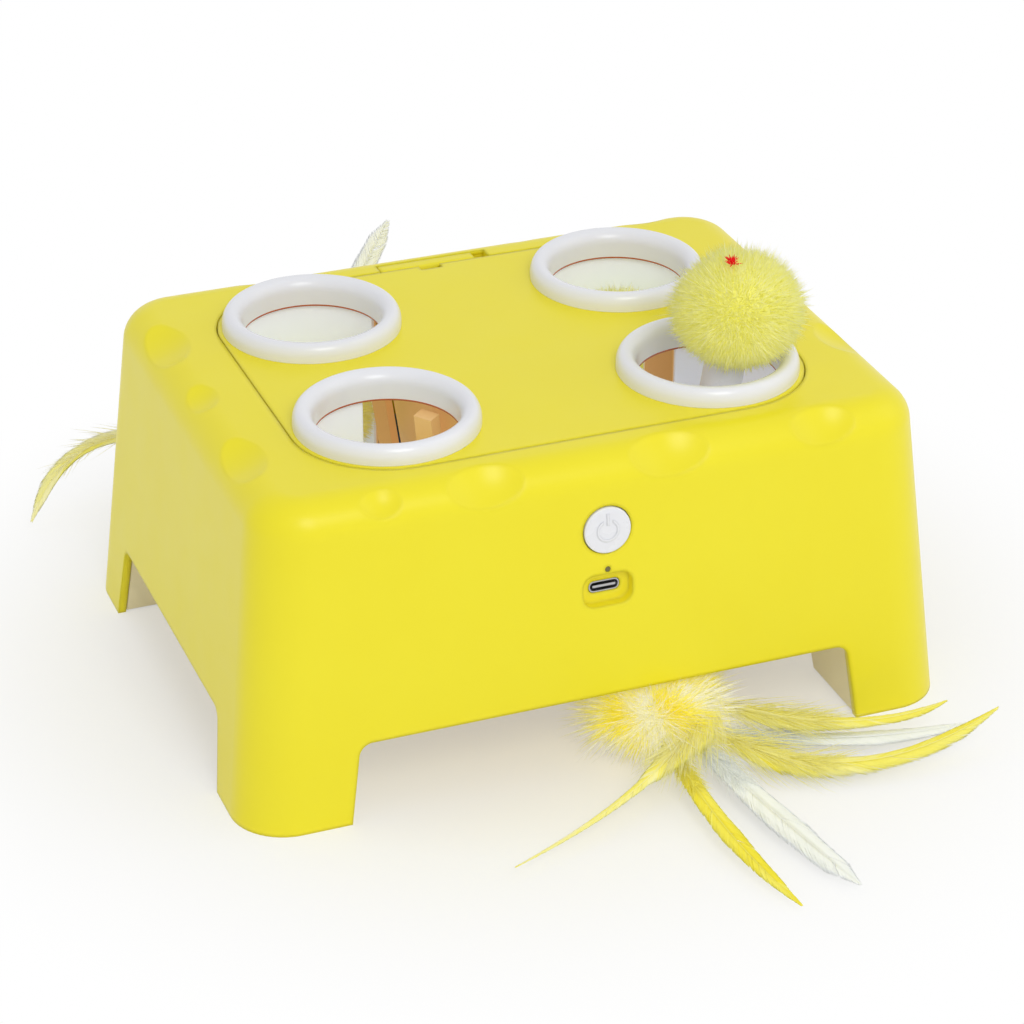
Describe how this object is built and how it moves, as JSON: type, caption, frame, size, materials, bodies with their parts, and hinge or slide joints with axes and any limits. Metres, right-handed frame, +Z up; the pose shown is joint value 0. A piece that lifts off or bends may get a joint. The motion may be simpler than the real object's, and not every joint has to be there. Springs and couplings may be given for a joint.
{
  "type": "automatic cat toy",
  "caption": "Four-legged yellow box with ringed holes from which fluffy balls rise on cam lifts, and feather lures that sweep round underneath.",
  "frame": {"origin": "on the floor, on the drum's axis, in the middle of the four legs", "axes": "+Z up, the front wall with the button faces -Y, +X to the right seen from the front"},
  "size_m": [0.2277, 0.2998, 0.129],
  "materials": {
    "yellow_plastic": "satin moulded",
    "white_plastic": "satin moulded",
    "tan_plastic": "satin moulded",
    "steel": "satin",
    "brass": "satin",
    "board": "solder mask",
    "black_plastic": "matt",
    "clear_plastic": "clear moulded",
    "cell_wrap": "shrink wrap",
    "lead_rubber": "matt",
    "pompom_fluff": "fluffy",
    "lure_fluff": "fluffy",
    "yellow_feather": "feather",
    "white_feather": "feather"
  },
  "bodies": {
    "case": {"outer_shell": "yellow_plastic", "bottom_tray": "white_plastic", "case_screws": "steel", "rotor_bush": "brass", "idler_axle": "steel", "gear_motor": "steel", "motor_bracket": "tan_plastic", "circuit_board": "board", "board_screws": "steel", "button_switch": "black_plastic", "status_light": "clear_plastic", "usb_socket": "steel", "battery_cell": "cell_wrap", "battery_cradle": "white_plastic", "battery_lead": "lead_rubber", "motor_lead": "lead_rubber", "ball_well_front_left": "white_plastic", "ball_well_front_right": "white_plastic", "ball_well_back_left": "white_plastic", "ball_well_back_right": "white_plastic", "guide_rail_front_left": "tan_plastic", "guide_rail_front_right": "tan_plastic", "guide_rail_back_left": "tan_plastic", "guide_rail_back_right": "tan_plastic"},
    "lid": {"lid_panel": "yellow_plastic", "hole_ring_front_left": "white_plastic", "hole_ring_front_right": "white_plastic", "hole_ring_back_left": "white_plastic", "hole_ring_back_right": "white_plastic"},
    "latch": {"lid_latch": "yellow_plastic"},
    "button": {"power_button": "white_plastic"},
    "rotor": {"cam_drum": "tan_plastic", "drum_gear": "tan_plastic", "main_shaft": "steel", "feather_hub": "white_plastic", "hub_screw": "steel", "lure_wand_front": "steel", "lure_wand_back": "steel", "lure_sleeve_front": "steel", "lure_sleeve_back": "steel", "lure_fluff_front": "lure_fluff", "lure_fluff_back": "lure_fluff", "feathers_front_yellow": "yellow_feather", "feathers_front_white": "white_feather", "feathers_back_yellow": "yellow_feather", "feathers_back_white": "white_feather"},
    "idler": {"idler_gear": "tan_plastic"},
    "pinion": {"motor_pinion": "brass"},
    "lift_front_left": {"lift_arm_front_left": "white_plastic", "pompom_front_left": "pompom_fluff"},
    "lift_front_right": {"lift_arm_front_right": "white_plastic", "pompom_front_right": "pompom_fluff"},
    "lift_back_left": {"lift_arm_back_left": "white_plastic", "pompom_back_left": "pompom_fluff"},
    "lift_back_right": {"lift_arm_back_right": "white_plastic", "pompom_back_right": "pompom_fluff"}
  },
  "joints": [
    {"name": "rotor_spin", "type": "hinge", "parent": "case", "child": "rotor", "pos_m": [0, 0, 0], "axis": [0, 0, 1], "continuous": true, "deforming": ["lure_fluff_front", "lure_fluff_back", "feathers_front_yellow", "feathers_front_white", "feathers_back_yellow", "feathers_back_white"]},
    {"name": "idler_spin", "type": "hinge", "parent": "case", "child": "idler", "pos_m": [0, -0.027, 0], "axis": [0, 0, 1], "continuous": true},
    {"name": "pinion_spin", "type": "hinge", "parent": "case", "child": "pinion", "pos_m": [0, -0.046, 0], "axis": [0, 0, 1], "continuous": true},
    {"name": "lift_front_left_slide", "type": "slide", "parent": "case", "child": "lift_front_left", "axis": [-0.1143, -0.0794, 0.9903], "range_m": [0, 0.04551], "deforming": ["pompom_front_left"]},
    {"name": "lift_front_right_slide", "type": "slide", "parent": "case", "child": "lift_front_right", "axis": [0.1143, -0.0794, 0.9903], "range_m": [-0.04551, 0], "deforming": ["pompom_front_right"]},
    {"name": "lift_back_left_slide", "type": "slide", "parent": "case", "child": "lift_back_left", "axis": [-0.1143, 0.0794, 0.9903], "range_m": [0, 0.04551], "deforming": ["pompom_back_left"]},
    {"name": "lift_back_right_slide", "type": "slide", "parent": "case", "child": "lift_back_right", "axis": [0.1143, 0.0794, 0.9903], "range_m": [-0.00436, 0.04114], "deforming": ["pompom_back_right"]},
    {"name": "lid_lift", "type": "slide", "parent": "case", "child": "lid", "axis": [0, 0, 1], "range_m": [0, 0.045]},
    {"name": "latch_slide", "type": "slide", "parent": "case", "child": "latch", "axis": [1, 0, 0], "range_m": [0, 0.004]},
    {"name": "button_press", "type": "slide", "parent": "case", "child": "button", "axis": [0, 0.9973, -0.0737], "range_m": [0, 0.0012], "stiffness_N_per_m": 800}
  ],
  "couplings": [
    {"joint": "idler_spin", "follows": "rotor_spin", "ratio": -2.8571},
    {"joint": "pinion_spin", "follows": "rotor_spin", "ratio": 8}
  ]
}
